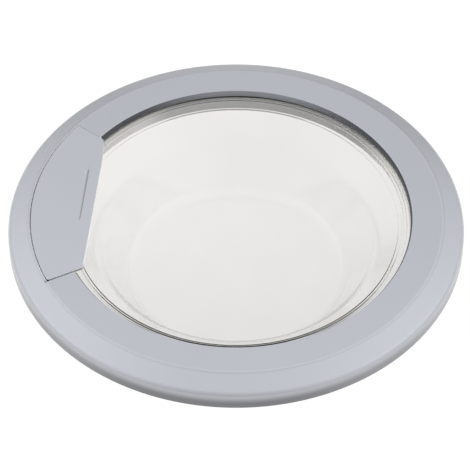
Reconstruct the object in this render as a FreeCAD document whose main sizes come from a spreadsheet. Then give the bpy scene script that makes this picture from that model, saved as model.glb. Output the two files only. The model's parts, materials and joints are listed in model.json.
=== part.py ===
import FreeCAD, Part
import Sketcher
import math
import os

# Front-loading washing machine door, lying face up on the flat bottom of its
# glass bowl.  Millimetres.  X points from the handle to the hinge, Z out of the
# front face, the origin is on the floor under the centre of the glass.

doc = FreeCAD.newDocument("washing_machine_door")
sheet = doc.addObject("Spreadsheet::Sheet", "dims")
sheet.Label = "dims"

SIZES = [
    # whole door
    ("ring_top", 83.0), ("rim_radius", 225.0), ("rim_depth", 27.6), ("wall_thick", 3.0),
    # front ring
    ("lip_radius", 172.0), ("lip_depth", 6.0), ("lip_edge", 3.2), ("lip_mouth", 174.0), ("lip_round", 0.6), ("ring_thick", 3.2),
    ("crease_radius", 203.2), ("crease_half", 0.5), ("crease_depth", 0.2), ("bevel_foot", 9.8),
    ("shoulder_round", 7.0), ("rim_round", 1.2), ("seat_radius", 184.2), ("rib_radius", 186.2),
    ("rib_depth", 11.6), ("ceiling_radius", 203.6), ("ceiling_foot", 11.76), ("ceiling_round", 7.5),
    ("boss_circle", 210.0), ("boss_radius", 4.5), ("boss_top", 5.2), ("boss_foot", 24.0),
    ("pilot_radius", 1.97), ("pilot_top", 11.0),
    # handle well
    ("block_half", 35.5), ("block_radius", 206.8), ("block_depth", 11.0),
    ("well_half", 32.05), ("well_depth", 5.0), ("pit_half", 12.5), ("pit_radius", 188.0), ("pit_outer", 201.2), ("pit_depth", 9.0),
    ("slot_near", 188.2), ("slot_far", 197.0), ("slot_half", 5.5),
    ("ear_near", 33.0), ("ear_far", 37.0), ("ear_radius", 2.2), ("ear_bore", 1.53),
    ("cup_x", 197.8), ("cup_y", 12.0), ("cup_radius", 3.4), ("cup_bore", 2.1), ("cup_depth", 16.4), ("cup_floor", 15.0),
    # glass
    ("flange_radius", 181.6), ("flange_top", 7.4), ("flange_under", 12.2),
    ("mouth_radius", 174.0), ("step_radius", 172.6), ("step_depth", 8.8), ("knee_radius", 163.0), ("knee_depth", 11.3),
    ("ridge_outer", 169.2), ("ridge_middle", 166.2), ("ridge_inner", 160.2), ("ridge_height", 0.6), ("ridge_inner_height", 0.7),
    ("ridge_foot", 0.95), ("ridge_crown", 0.35), ("ridge_round", 0.3),
    ("bend_radius", 138.5), ("bend_depth", 31.0), ("bowl_radius", 107.74), ("bowl_depth", 80.0),
    ("neck_out", 171.2), ("knee_out", 164.35), ("knee_out_depth", 13.97),
    ("bend_out", 140.62), ("bend_out_depth", 32.86), ("bowl_out", 108.66),
    ("mouth_round", 0.5), ("knee_round", 3.5), ("bend_round", 40.0), ("bowl_round", 12.0),
    ("neck_round_out", 1.0), ("knee_round_out", 0.8), ("bend_round_out", 37.2), ("bowl_round_out", 14.5),
    ("flange_round", 0.8),
    # seals
    ("gasket_in", 175.2), ("gasket_out", 181.0), ("seal_in", 174.8), ("seal_out", 181.0), ("seal_under", 13.2),
    # rear frame
    ("collar_in", 174.2), ("collar_out", 177.0), ("collar_seat", 181.2), ("collar_seat_under", 15.2),
    ("back_top", 26.5), ("back_under", 29.0), ("back_radius", 221.4), ("back_wall", 218.8), ("back_wall_top", 20.0),
    ("back_round", 0.9), ("post_radius", 5.5), ("post_top", 24.2), ("screw_hole", 2.2), ("sink_radius", 4.3), ("sink_top", 26.4),
    ("channel_in", 178.2), ("channel_out", 180.6), ("channel_depth", 0.8),
    # frame screw
    ("head_radius", 3.9), ("head_under", 28.6), ("shank_radius", 1.95), ("shank_top", 12.6),
    # handle
    ("pivot_x", 193.0), ("pivot_depth", 4.8), ("cover_radius", 202.05), ("cover_far", 31.9), ("cover_near", 31.5), ("edge_round", 0.5), ("chord_x", 140.9),
    ("bend_length", 21.0), ("bend_shift", 2.4), ("grip_half", 70.0),
    ("cover_thick", 2.2), ("cover_round", 2.2), ("skirt_thick", 1.8), ("skirt_depth", 2.6), ("grip_thick", 3.0), ("grip_depth", 8.6),
    ("groove_x", 152.7), ("groove_far", 50.0), ("groove_near", 26.0), ("groove_half", 1.0), ("groove_depth", 0.7),
    ("lever_in", 158.0), ("lever_out", 195.6), ("lever_half", 31.0), ("lever_under", 4.4),
    ("knuckle_near", 22.0), ("knuckle_radius", 3.6), ("knuckle_bore", 1.54), ("tail_half_thick", 2.0), ("tail_half", 4.0), ("tail_reach", 8.1),
    ("handle_pin_radius", 1.5), ("handle_pin_half", 38.5),
    ("small_x", 168.0), ("small_y", 20.0), ("small_head", 2.6), ("small_head_under", 5.6), ("small_shank", 1.3), ("small_tip", 1.1), ("small_hole", 1.33),
    ("spring_mean", 1.45), ("spring_wire", 0.3), ("spring_turns", 6.0),
    # hook
    ("hook_depth", 21.0), ("hook_half", 5.0), ("hook_boss", 5.5), ("hook_bore", 2.04), ("hook_shank_half", 4.0), ("hook_foot", 56.0),
    ("nose_reach", 13.0), ("nose_top", 48.0), ("nose_edge", 51.0),
    ("arm_near", 2.3), ("arm_far", 6.3), ("arm_top", 11.6), ("heel_reach", 13.0), ("heel_top", 18.6), ("heel_under", 21.2),
    ("hook_pin_radius", 2.0), ("hook_pin_half", 11.0), ("hook_clip_radius", 3.2), ("hook_clip_in", 8.7), ("hook_clip_out", 9.5), ("clip_bore", 2.01),
    ("hook_spring_x", 202.5), ("hook_spring_mean", 1.9), ("hook_spring_wire", 0.36), ("hook_spring_turns", 5.0),
    # latch bracket
    ("plate_near", 181.8), ("plate_far", 212.0), ("plate_half", 22.0), ("plate_thick", 2.0),
    ("gate_near", 187.0), ("gate_far", 201.0), ("gate_half", 6.3), ("cheek_thick", 2.0), ("cheek_radius", 4.5), ("cheek_bore", 2.02),
    ("gate_clear", 0.5), ("latch_screw_x", 194.0), ("latch_screw_y", 17.0),
    # hinge
    ("hinge_x", 207.0), ("hinge_depth", 32.0), ("bracket_near", 189.5), ("bracket_radius", 218.0), ("bracket_half", 38.0), ("bracket_top", 22.5),
    ("lug_in", 17.5), ("lug_out", 24.5), ("lug_radius", 6.0), ("lug_bore", 4.52), ("notch_near", 200.5), ("notch_far", 213.5), ("notch_half", 17.4),
    ("bush_out", 4.5), ("bush_in", 3.05), ("bush_flange", 5.2), ("bush_flange_thick", 0.6), ("hinge_pin_radius", 3.0), ("hinge_pin_half", 27.0),
    ("hinge_clip_radius", 4.8), ("hinge_clip_in", 25.45), ("hinge_clip_out", 26.25), ("hinge_clip_bore", 3.01),
    ("arm_knuckle", 5.5), ("arm_knuckle_half", 16.9), ("arm_bore", 3.01), ("leaf_half_thick", 2.25), ("leaf_half", 28.0), ("leaf_neck", 9.0), ("leaf_length", 38.0),
    ("leaf_hole_drop", 26.0), ("leaf_hole_y", 17.0), ("leaf_hole_radius", 3.2), ("leaf_round", 5.0),
    ("window_near", 199.0), ("window_far", 215.0), ("window_half", 27.5),
    ("csk_near_x", 194.0), ("csk_near_y", 22.0), ("csk_far_x", 207.0), ("csk_far_y", 33.0),
    ("csk_head", 4.2), ("csk_depth", 2.2), ("csk_shank", 2.45), ("csk_hole", 2.6), ("csk_tap", 2.5), ("csk_top", 21.6),
]


class Val:
    """A number together with the sheet formula that gives it."""

    def __init__(self, number, formula):
        self.n = float(number)
        self.f = formula

    def _with(self, other, sign, number):
        return Val(number, "(%s %s %s)" % (self.f, sign, lift(other).f))

    def __add__(self, o):
        return self._with(o, "+", self.n + lift(o).n)

    def __sub__(self, o):
        return self._with(o, "-", self.n - lift(o).n)

    def __mul__(self, o):
        return self._with(o, "*", self.n * lift(o).n)

    def __truediv__(self, o):
        return self._with(o, "/", self.n / lift(o).n)

    def __neg__(self):
        return lift(0) - self


def lift(x):
    return x if isinstance(x, Val) else Val(x, repr(float(x)))


S = {}
for row, (name, number) in enumerate(SIZES, start=1):
    sheet.set("A%d" % row, name)
    sheet.set("B%d" % row, repr(number))
    sheet.setAlias("B%d" % row, name)
    S[name] = Val(number, "dims.%s" % name)
doc.recompute()


def down(name):
    """Height of a level given as a depth under the flat ring."""
    return S["ring_top"] - S[name]


def bind(obj, prop, val):
    val = lift(val)
    obj.setExpression(prop, val.f)


def trig(fn, val):
    val = lift(val)
    number = math.cos(math.radians(val.n)) if fn == "cos" else math.sin(math.radians(val.n))
    return Val(number, "%s(%s * 1 deg)" % (fn, val.f))


def plane_of(body, role):
    for item in body.Origin.OriginFeatures:
        if item.Role == role:
            return item
    raise RuntimeError("no plane " + role)


def sketch(body, name, role, points):
    """Closed outline of straight lines; every corner is held by two bound distances."""
    sk = body.newObject("Sketcher::SketchObject", name)
    sk.AttachmentSupport = [(plane_of(body, role), "")]
    sk.MapMode = "FlatFace"
    pts = [(lift(a), lift(b)) for a, b in points]
    count = len(pts)
    for i in range(count):
        a, b = pts[i], pts[(i + 1) % count]
        sk.addGeometry(Part.LineSegment(FreeCAD.Vector(a[0].n, a[1].n, 0), FreeCAD.Vector(b[0].n, b[1].n, 0)), False)
    for i in range(count):
        sk.addConstraint(Sketcher.Constraint("Coincident", i, 2, (i + 1) % count, 1))
    for i, (a, b) in enumerate(pts):
        if abs(a.n) < 1e-9:
            sk.addConstraint(Sketcher.Constraint("PointOnObject", i, 1, -2))
        else:
            k = sk.addConstraint(Sketcher.Constraint("DistanceX", -1, 1, i, 1, a.n))
            sk.setExpression("Constraints[%d]" % k, a.f)
        if abs(b.n) < 1e-9:
            sk.addConstraint(Sketcher.Constraint("PointOnObject", i, 1, -1))
        else:
            k = sk.addConstraint(Sketcher.Constraint("DistanceY", -1, 1, i, 1, b.n))
            sk.setExpression("Constraints[%d]" % k, b.f)
    return sk


def turned(name, points, half=None):
    """Body turned about Z from an outline in the XZ plane, whole or to both sides of it."""
    body = doc.addObject("PartDesign::Body", name)
    sk = sketch(body, name + "_outline", "XZ_Plane", points)
    rev = body.newObject("PartDesign::Revolution", name + "_turn")
    rev.Profile = sk
    rev.ReferenceAxis = (sk, ["V_Axis"])
    if half is None:
        rev.Angle = 360.0
    else:
        rev.Midplane = True
        bind(rev, "Angle", half * 2)
    sk.Visibility = False
    doc.recompute()
    return body


def padded(name, role, points, length, both=True):
    """Body padded from an outline, to both sides of its plane or along the normal."""
    body = doc.addObject("PartDesign::Body", name)
    sk = sketch(body, name + "_outline", role, points)
    pad = body.newObject("PartDesign::Pad", name + "_pad")
    pad.Profile = sk
    pad.Midplane = both
    bind(pad, "Length", length)
    sk.Visibility = False
    doc.recompute()
    return body


def ring_edges(shape, spots):
    """Names of the circular edges about Z that pass a given radius and height."""
    names = []
    for r, z in spots:
        r, z = lift(r).n, lift(z).n
        for i, e in enumerate(shape.Edges, start=1):
            if not isinstance(e.Curve, Part.Circle):
                continue
            c = e.Curve
            if abs(c.Radius - r) < 0.02 and abs(c.Center.z - z) < 0.02 and abs(c.Center.x) + abs(c.Center.y) < 0.02:
                if "Edge%d" % i not in names:
                    names.append("Edge%d" % i)
    return names


def round_rings(body, name, spots, radius):
    base = body.Tip
    names = ring_edges(base.Shape, spots)
    if not names:
        raise RuntimeError("no edge to round for " + name)
    fil = body.newObject("PartDesign::Fillet", name)
    fil.Base = (base, names)
    bind(fil, "Radius", radius)
    doc.recompute()
    return fil


def box(name, x0, x1, y0, y1, z0, z1):
    x0, x1, y0, y1, z0, z1 = [lift(v) for v in (x0, x1, y0, y1, z0, z1)]
    b = doc.addObject("Part::Box", name)
    bind(b, "Length", x1 - x0)
    bind(b, "Width", y1 - y0)
    bind(b, "Height", z1 - z0)
    bind(b, "Placement.Base.x", x0)
    bind(b, "Placement.Base.y", y0)
    bind(b, "Placement.Base.z", z0)
    return b


def post(name, x, y, z0, z1, radius):
    """Upright cylinder."""
    z0, z1 = lift(z0), lift(z1)
    c = doc.addObject("Part::Cylinder", name)
    bind(c, "Radius", radius)
    bind(c, "Height", z1 - z0)
    bind(c, "Placement.Base.x", x)
    bind(c, "Placement.Base.y", y)
    bind(c, "Placement.Base.z", z0)
    return c


def cone(name, x, y, z0, z1, r0, r1):
    z0, z1 = lift(z0), lift(z1)
    c = doc.addObject("Part::Cone", name)
    bind(c, "Radius1", r0)
    bind(c, "Radius2", r1)
    bind(c, "Height", z1 - z0)
    bind(c, "Placement.Base.x", x)
    bind(c, "Placement.Base.y", y)
    bind(c, "Placement.Base.z", z0)
    return c


def bar(name, x, z, y0, y1, radius):
    """Cylinder that lies along Y, from y0 to y1."""
    y0, y1 = lift(y0), lift(y1)
    c = doc.addObject("Part::Cylinder", name)
    bind(c, "Radius", radius)
    bind(c, "Height", y1 - y0)
    c.Placement = FreeCAD.Placement(FreeCAD.Vector(0, 0, 0), FreeCAD.Rotation(FreeCAD.Vector(1, 0, 0), -90))
    bind(c, "Placement.Base.x", x)
    bind(c, "Placement.Base.y", y0)
    bind(c, "Placement.Base.z", z)
    return c


def join(name, items):
    if len(items) == 1:
        return items[0]
    f = doc.addObject("Part::MultiFuse", name)
    f.Shapes = items
    f.Refine = True
    return f


def minus(name, base, tools):
    c = doc.addObject("Part::Cut", name)
    c.Base = base
    c.Tool = join(name + "_tools", tools)
    c.Refine = True
    return c


def group(name, items):
    g = doc.addObject("Part::Compound", name)
    g.Links = items
    return g


TURN = FreeCAD.Placement(FreeCAD.Vector(0, 0, 0), FreeCAD.Rotation(FreeCAD.Vector(0, 0, 1), 180))
NODES = []


def node(obj, name, turn=False):
    obj.Label = name
    if turn:
        obj.Placement = TURN
    NODES.append((obj, name))


# ---------------------------------------------------------------- glass bowl
def ridge(a, b, radius, height):
    """Outline of a low ridge standing on the line from a to b at a radius; the second and third corners are its crown."""
    length = math.hypot(b[0].n - a[0].n, b[1].n - a[1].n)
    ur, uz = (b[0].n - a[0].n) / length, (b[1].n - a[1].n) / length
    at = (radius.n - a[0].n) / ur
    foot_z = a[1] + uz * at
    corners = []
    for side, wide, tall in ((-1, "ridge_foot", 0), (-1, "ridge_crown", 1), (1, "ridge_crown", 1), (1, "ridge_foot", 0)):
        along = S[wide] * side
        out = height * tall
        corners.append((radius + along * ur + out * uz, foot_z + along * uz - out * ur))
    return corners


mouth = (S["mouth_radius"], down("flange_top"))
step = (S["step_radius"], down("step_depth"))
knee = (S["knee_radius"], down("knee_depth"))
bend = (S["bend_radius"], down("bend_depth"))
ridges = [ridge(step, knee, S["ridge_outer"], S["ridge_height"]), ridge(step, knee, S["ridge_middle"], S["ridge_height"]),
          ridge(knee, bend, S["ridge_inner"], S["ridge_inner_height"])]
glass = turned("glass_body", [(S["flange_radius"], down("flange_top")), mouth, step] + ridges[0] + ridges[1] + [knee] + ridges[2] + [
    bend,
    (S["bowl_radius"], down("bowl_depth")),
    (0, down("bowl_depth")),
    (0, 0),
    (S["bowl_out"], 0),
    (S["bend_out"], down("bend_out_depth")),
    (S["knee_out"], down("knee_out_depth")),
    (S["neck_out"], down("flange_under")),
    (S["flange_radius"], down("flange_under")),
])
round_rings(glass, "glass_bowl_fillet", [(S["bowl_radius"], down("bowl_depth"))], S["bowl_round"])
round_rings(glass, "glass_foot_fillet", [(S["bowl_out"], 0)], S["bowl_round_out"])
round_rings(glass, "glass_bend_fillet", [bend], S["bend_round"])
round_rings(glass, "glass_bend_out_fillet", [(S["bend_out"], down("bend_out_depth"))], S["bend_round_out"])
round_rings(glass, "glass_knee_fillet", [knee], S["knee_round"])
round_rings(glass, "glass_knee_out_fillet", [(S["knee_out"], down("knee_out_depth"))], S["knee_round_out"])
round_rings(glass, "glass_mouth_fillet", [mouth, step], S["mouth_round"])
round_rings(glass, "glass_neck_out_fillet", [(S["neck_out"], down("flange_under"))], S["neck_round_out"])
round_rings(glass, "glass_ridge_fillet", [corner for item in ridges for corner in item[1:3]], S["ridge_round"])
round_rings(glass, "glass_flange_fillet", [(S["flange_radius"], down("flange_top")), (S["flange_radius"], down("flange_under"))], S["flange_round"])
node(glass, "glass_bowl")

gasket = turned("gasket_body", [
    (S["gasket_in"], down("flange_top")), (S["gasket_out"], down("flange_top")),
    (S["gasket_out"], down("lip_depth")), (S["gasket_in"], down("lip_depth"))])
node(gasket, "glass_gasket")

seal = turned("seal_body", [
    (S["seal_in"], down("seal_under")), (S["seal_out"], down("seal_under")),
    (S["seal_out"], down("flange_under")), (S["seal_in"], down("flange_under"))])
node(seal, "rear_seal")

# --------------------------------------------------------------- front frame
top = S["ring_top"]
shell = turned("front_shell", [
    (S["lip_radius"], down("lip_depth")),
    (S["lip_radius"], down("lip_edge")),
    (S["lip_mouth"], top),
    (S["crease_radius"] - S["crease_half"], top),
    (S["crease_radius"], down("crease_depth")),
    (S["crease_radius"] + S["crease_half"], top - 0.1),
    (S["rim_radius"], down("bevel_foot")),
    (S["rim_radius"], down("rim_depth")),
    (S["rim_radius"] - S["wall_thick"], down("rim_depth")),
    (S["rim_radius"] - S["wall_thick"], down("ceiling_foot")),
    (S["ceiling_radius"], down("ring_thick")),
    (S["rib_radius"], down("ring_thick")),
    (S["rib_radius"], down("rib_depth")),
    (S["seat_radius"], down("rib_depth")),
    (S["seat_radius"], down("lip_depth")),
])
round_rings(shell, "front_shoulder", [(S["rim_radius"], down("bevel_foot"))], S["shoulder_round"])
round_rings(shell, "front_ceiling", [(S["rim_radius"] - S["wall_thick"], down("ceiling_foot"))], S["ceiling_round"])
round_rings(shell, "front_lip", [(S["lip_mouth"], top)], S["lip_round"])
round_rings(shell, "front_rim", [(S["rim_radius"], down("rim_depth"))], S["rim_round"])

well_block = turned("well_block", [
    (S["seat_radius"], down("ring_thick") + 0.6),
    (S["seat_radius"], down("block_depth")),
    (S["block_radius"], down("block_depth")),
    (S["block_radius"], down("ring_thick")),
    (S["crease_radius"] - S["crease_half"], down("ring_thick") + 0.6),
], S["block_half"])
well_block.Placement = TURN

bosses = []
boss_holes = []
sinks = []
posts = []
frame_screw_list = []
for i in range(8):
    angle = lift(22.5 + 45.0 * i)
    px = S["boss_circle"] * trig("cos", angle)
    py = S["boss_circle"] * trig("sin", angle)
    bosses.append(post("front_boss_%d" % i, px, py, down("boss_foot"), down("boss_top"), S["boss_radius"]))
    boss_holes.append(post("front_pilot_%d" % i, px, py, down("boss_foot") - 0.5, down("pilot_top"), S["pilot_radius"]))
    posts.append(post("rear_post_%d" % i, px, py, down("back_under") + 0.2, down("post_top"), S["post_radius"]))
    sinks.append(post("rear_hole_%d" % i, px, py, down("back_under") - 1, down("post_top") + 1, S["screw_hole"]))
    sinks.append(post("rear_sink_%d" % i, px, py, down("back_under") - 1, down("sink_top"), S["sink_radius"]))
    head = post("frame_head_%d" % i, px, py, down("head_under"), down("sink_top"), S["head_radius"])
    drive = post("frame_drive_%d" % i, px, py, down("head_under") - 0.5, down("head_under") + 1.2, S["shank_radius"] * 0.9)
    shank = post("frame_shank_%d" % i, px, py, down("sink_top") - 0.1, down("shank_top") - 2, S["shank_radius"])
    tip = cone("frame_tip_%d" % i, px, py, down("shank_top") - 2, down("shank_top"), S["shank_radius"], S["shank_radius"] * 0.4)
    frame_screw_list.append(minus("frame_screw_%d" % i, join("frame_screw_blank_%d" % i, [head, shank, tip]), [drive]))

spring_cups = []
spring_bores = []
for side, sign in (("far", 1.0), ("near", -1.0)):
    spring_cups.append(post("cup_%s" % side, -S["cup_x"], S["cup_y"] * sign, down("cup_depth"), down("block_depth") + 0.5, S["cup_radius"]))
    spring_bores.append(post("cup_bore_%s" % side, -S["cup_x"], S["cup_y"] * sign, down("cup_floor"), down("pit_depth") + 0.5, S["cup_bore"]))

front_blank = join("front_blank", [shell, well_block] + bosses + spring_cups)

well = turned("well_cut", [
    (S["lip_radius"] - 3, down("well_depth")), (S["crease_radius"], down("well_depth")),
    (S["crease_radius"], top + 2), (S["lip_radius"] - 3, top + 2)], S["well_half"])
well.Placement = TURN
pit = turned("pit_cut", [
    (S["pit_radius"], down("pit_depth")), (S["pit_outer"], down("pit_depth")),
    (S["pit_outer"], down("well_depth") + 0.5), (S["pit_radius"], down("well_depth") + 0.5)], S["pit_half"])
pit.Placement = TURN
tail_slot = box("tail_slot", -S["slot_far"], -S["slot_near"], -S["slot_half"], S["slot_half"],
                down("block_depth") - 1, down("pit_depth") + 1)
front_cut = minus("front_cut", front_blank, [well, pit, tail_slot] + boss_holes + spring_bores)

ears = []
ear_bores = []
pivot_z = S["ring_top"] - S["pivot_depth"]
for side, sign in (("far", 1.0), ("near", -1.0)):
    y0 = S["ear_near"] if sign > 0 else -S["ear_far"]
    y1 = S["ear_far"] if sign > 0 else -S["ear_near"]
    ears.append(box("ear_%s" % side, -S["pivot_x"] - S["ear_radius"], -S["pivot_x"] + S["ear_radius"], y0, y1,
                    down("pit_depth") - 0.5, pivot_z))
    ears.append(bar("ear_round_%s" % side, -S["pivot_x"], pivot_z, y0, y1, S["ear_radius"]))
    ear_bores.append(bar("ear_bore_%s" % side, -S["pivot_x"], pivot_z, y0 - 0.5, y1 + 0.5, S["ear_bore"]))
front_frame = minus("front_frame_solid", join("front_with_ears", [front_cut] + ears), ear_bores)
node(front_frame, "front_frame")

# ---------------------------------------------------------------- rear frame
back = turned("rear_shell", [
    (S["collar_in"], down("seal_under")),
    (S["collar_seat"], down("seal_under")),
    (S["collar_seat"], down("collar_seat_under")),
    (S["collar_out"], down("collar_seat_under")),
    (S["collar_out"], down("back_top")),
    (S["back_wall"], down("back_top")),
    (S["back_wall"], down("back_wall_top")),
    (S["back_radius"], down("back_wall_top")),
    (S["back_radius"], down("back_under")),
    (S["channel_out"], down("back_under")),
    (S["channel_out"], down("back_under") + S["channel_depth"]),
    (S["channel_in"], down("back_under") + S["channel_depth"]),
    (S["channel_in"], down("back_under")),
    (S["collar_in"], down("back_under")),
])
round_rings(back, "rear_edge", [(S["back_radius"], down("back_under")), (S["collar_in"], down("back_under"))], S["back_round"])

rear_cuts = list(sinks)
rear_cuts.append(box("hinge_window", S["window_near"], S["window_far"], -S["window_half"], S["window_half"],
                     down("back_under") - 1, down("back_top") + 1))
rear_cuts.append(box("hook_gate", -S["gate_far"], -S["gate_near"], -S["gate_half"] - S["gate_clear"], S["gate_half"] + S["gate_clear"],
                     down("back_under") - 1, down("back_top") + 1))


def csk(name, x, y, top_level):
    """Countersunk screw, driven from behind, with its through hole, sink and tapped hole."""
    head = cone(name + "_head", x, y, down("back_under") + 0.1, down("back_under") + 0.1 + S["csk_depth"], S["csk_head"], S["csk_shank"])
    drive = post(name + "_drive", x, y, down("back_under") - 0.5, down("back_under") + 1.2, S["csk_shank"] * 0.7)
    shank = post(name + "_shank", x, y, down("back_under") + S["csk_depth"], top_level, S["csk_shank"])
    screw = minus(name, join(name + "_blank", [head, shank]), [drive])
    hole = post(name + "_hole", x, y, down("back_under") - 1, down("back_top") + 1, S["csk_hole"])
    sink = cone(name + "_sink", x, y, down("back_under"), down("back_under") + S["csk_depth"] + 0.1, S["csk_head"] + 0.15, S["csk_hole"])
    tap = post(name + "_tap", x, y, down("back_top") - 0.5, top_level + 2, S["csk_tap"])
    return screw, [hole, sink], tap


hinge_screw_list = []
hinge_taps = []
for tag, cx, cy in (("a", S["csk_near_x"], S["csk_near_y"]), ("b", S["csk_near_x"], -S["csk_near_y"]),
                    ("c", S["csk_far_x"], S["csk_far_y"]), ("d", S["csk_far_x"], -S["csk_far_y"])):
    screw, holes, tap = csk("hinge_screw_" + tag, cx, cy, down("csk_top"))
    hinge_screw_list.append(screw)
    hinge_taps.append(tap)
    rear_cuts.extend(holes)

latch_screw_list = []
latch_taps = []
for tag, cy in (("a", S["latch_screw_y"]), ("b", -S["latch_screw_y"])):
    screw, holes, tap = csk("latch_screw_" + tag, -S["latch_screw_x"], cy, down("back_top") + S["plate_thick"] + 1)
    latch_screw_list.append(screw)
    latch_taps.append(tap)
    rear_cuts.extend(holes)

rear_frame = minus("rear_frame_solid", join("rear_blank", [back] + posts), rear_cuts)
node(rear_frame, "rear_frame")
node(group("frame_screw_group", frame_screw_list), "frame_screws")
node(group("hinge_screw_group", hinge_screw_list), "hinge_screws")
node(group("latch_screw_group", latch_screw_list), "latch_screws")

# -------------------------------------------------------------------- handle
# Drawn on the +X side and turned half round about Z.
cover = doc.addObject("PartDesign::Body", "cover_body")


def sector_sketch(body, name, radius, half_near, half_far, chord):
    """Outline of a ring sector with a straight inner edge that bends back at one end."""
    sk = body.newObject("Sketcher::SketchObject", name)
    sk.AttachmentSupport = [(plane_of(body, "XY_Plane"), "")]
    sk.MapMode = "FlatFace"
    a, b = math.radians(half_near.n), math.radians(half_far.n)
    slope = trig("sin", half_near) / trig("cos", half_near)
    far_slope = trig("sin", half_far) / trig("cos", half_far)
    tip_x = chord + S["bend_shift"]
    tip_y = -(tip_x * far_slope)
    bend_y = S["bend_length"] - chord * far_slope
    near = FreeCAD.Vector(radius.n * math.cos(a), radius.n * math.sin(a), 0)
    far = FreeCAD.Vector(radius.n * math.cos(b), -radius.n * math.sin(b), 0)
    near_in = FreeCAD.Vector(chord.n, chord.n * math.tan(a), 0)
    bend = FreeCAD.Vector(chord.n, bend_y.n, 0)
    far_in = FreeCAD.Vector(tip_x.n, tip_y.n, 0)
    sk.addGeometry(Part.ArcOfCircle(Part.Circle(FreeCAD.Vector(0, 0, 0), FreeCAD.Vector(0, 0, 1), radius.n), -b, a), False)
    sk.addGeometry(Part.LineSegment(near, near_in), False)
    sk.addGeometry(Part.LineSegment(near_in, bend), False)
    sk.addGeometry(Part.LineSegment(bend, far_in), False)
    sk.addGeometry(Part.LineSegment(far_in, far), False)
    sk.addConstraint(Sketcher.Constraint("Coincident", 0, 3, -1, 1))
    sk.addConstraint(Sketcher.Constraint("Coincident", 0, 2, 1, 1))
    sk.addConstraint(Sketcher.Constraint("Coincident", 1, 2, 2, 1))
    sk.addConstraint(Sketcher.Constraint("Coincident", 2, 2, 3, 1))
    sk.addConstraint(Sketcher.Constraint("Coincident", 3, 2, 4, 1))
    sk.addConstraint(Sketcher.Constraint("Coincident", 4, 2, 0, 1))
    k = sk.addConstraint(Sketcher.Constraint("Radius", 0, radius.n))
    sk.setExpression("Constraints[%d]" % k, radius.f)
    for geo, pos, dx, dy in ((1, 2, chord, chord * slope), (2, 2, chord, bend_y), (3, 2, tip_x, tip_y)):
        k = sk.addConstraint(Sketcher.Constraint("DistanceX", -1, 1, geo, pos, dx.n))
        sk.setExpression("Constraints[%d]" % k, dx.f)
        k = sk.addConstraint(Sketcher.Constraint("DistanceY", -1, 1, geo, pos, dy.n))
        sk.setExpression("Constraints[%d]" % k, dy.f)
    for geo, pos, half, sign in ((0, 2, half_near, 1.0), (0, 1, half_far, -1.0)):
        dy = radius * trig("sin", half) * sign
        k = sk.addConstraint(Sketcher.Constraint("DistanceY", -1, 1, geo, pos, dy.n))
        sk.setExpression("Constraints[%d]" % k, dy.f)
    return sk


sk = sector_sketch(cover, "cover_outline", S["cover_radius"], S["cover_near"], S["cover_far"], S["chord_x"])
pad = cover.newObject("PartDesign::Pad", "cover_pad")
pad.Profile = sk
bind(pad, "Length", S["grip_depth"])
sk.Visibility = False
doc.recompute()
names = []
for i, f in enumerate(pad.Shape.Faces, start=1):
    if abs(f.CenterOfMass.z - S["grip_depth"].n) < 1e-4:
        names.append("Face%d" % i)
corners = []
for i, e in enumerate(pad.Shape.Edges, start=1):
    v = e.Vertexes
    if len(v) == 2 and abs(v[0].X - v[1].X) < 1e-6 and abs(v[0].Y - v[1].Y) < 1e-6:
        corners.append("Edge%d" % i)
cf = cover.newObject("PartDesign::Fillet", "cover_corners")
cf.Base = (pad, corners)
bind(cf, "Radius", S["cover_round"])
doc.recompute()
names = []
for i, f in enumerate(cf.Shape.Faces, start=1):
    if abs(f.CenterOfMass.z - S["grip_depth"].n) < 1e-4:
        names.append("Face%d" % i)
ef = cover.newObject("PartDesign::Fillet", "cover_edges")
ef.Base = (cf, names)
bind(ef, "Radius", S["edge_round"])
doc.recompute()
bind(cover, "Placement.Base.z", down("grip_depth"))
doc.recompute()

# hollow underneath: shallow skirts round the ring part, a deep grip along the straight edge
cover_hollow = doc.addObject("PartDesign::Body", "cover_hollow")
sk = sector_sketch(cover_hollow, "cover_hollow_outline", S["cover_radius"] - S["skirt_thick"],
                   S["cover_near"] - 0.62, S["cover_far"] - 0.62, S["chord_x"] + S["grip_thick"])
pad = cover_hollow.newObject("PartDesign::Pad", "cover_hollow_pad")
pad.Profile = sk
bind(pad, "Length", S["grip_depth"] - S["cover_thick"] + 2)
sk.Visibility = False
bind(cover_hollow, "Placement.Base.z", down("grip_depth") - 2)
cover_trim = box("cover_trim", S["chord_x"] + S["grip_thick"], S["cover_radius"] + 2, -S["cover_radius"] * 0.6, S["cover_radius"] * 0.6,
                 down("grip_depth") - 2, down("skirt_depth"))
groove = box("cover_groove", S["groove_x"] - S["groove_half"], S["groove_x"] + S["groove_half"], -S["groove_far"], S["groove_near"],
             top - S["groove_depth"], top + 1)
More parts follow.
